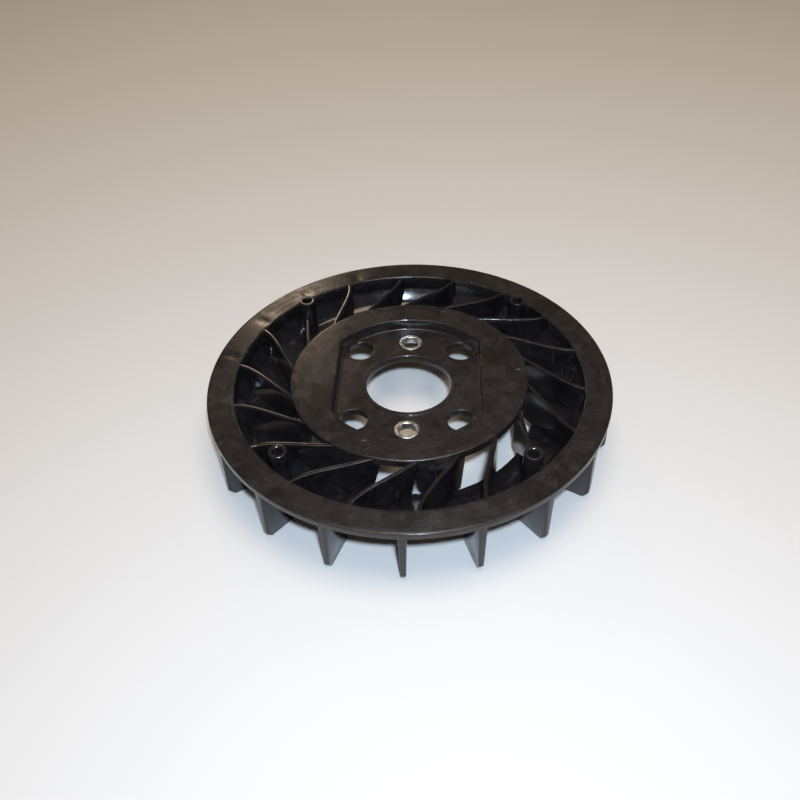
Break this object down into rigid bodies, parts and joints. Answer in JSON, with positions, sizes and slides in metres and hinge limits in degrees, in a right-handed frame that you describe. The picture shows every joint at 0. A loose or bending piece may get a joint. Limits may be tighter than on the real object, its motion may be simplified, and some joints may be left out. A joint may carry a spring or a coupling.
{
  "type": "flywheel fan wheel",
  "caption": "Moulded black fan wheel for a small engine flywheel, with swept blades between hub and ring, outlet fins, hollow screw posts and pressed-in steel sleeves.",
  "frame": {"origin": "centre of the bore, on the hub's seating face", "axes": "+Z along the wheel's axis, away from the flywheel; one steel sleeve and one fin lie on -Y"},
  "size_m": [0.22, 0.22, 0.0418],
  "materials": {
    "black_nylon": "moulded satin",
    "plated_steel": "bright plated"
  },
  "bodies": {
    "root": {"hub_plate": "black_nylon", "shroud_ring": "black_nylon", "back_plate": "black_nylon", "blade_01": "black_nylon", "blade_02": "black_nylon", "blade_03": "black_nylon", "blade_04": "black_nylon", "blade_05": "black_nylon", "blade_06": "black_nylon", "blade_07": "black_nylon", "blade_08": "black_nylon", "blade_09": "black_nylon", "blade_10": "black_nylon", "blade_11": "black_nylon", "blade_12": "black_nylon", "blade_13": "black_nylon", "blade_14": "black_nylon", "blade_15": "black_nylon", "blade_16": "black_nylon", "blade_17": "black_nylon", "blade_18": "black_nylon", "closing_wall_1": "black_nylon", "closing_wall_2": "black_nylon", "closing_wall_3": "black_nylon", "closing_wall_4": "black_nylon", "screw_post_1": "black_nylon", "screw_post_2": "black_nylon", "screw_post_3": "black_nylon", "screw_post_4": "black_nylon", "steel_sleeve_front": "plated_steel", "steel_sleeve_rear": "plated_steel"}
  },
  "joints": []
}
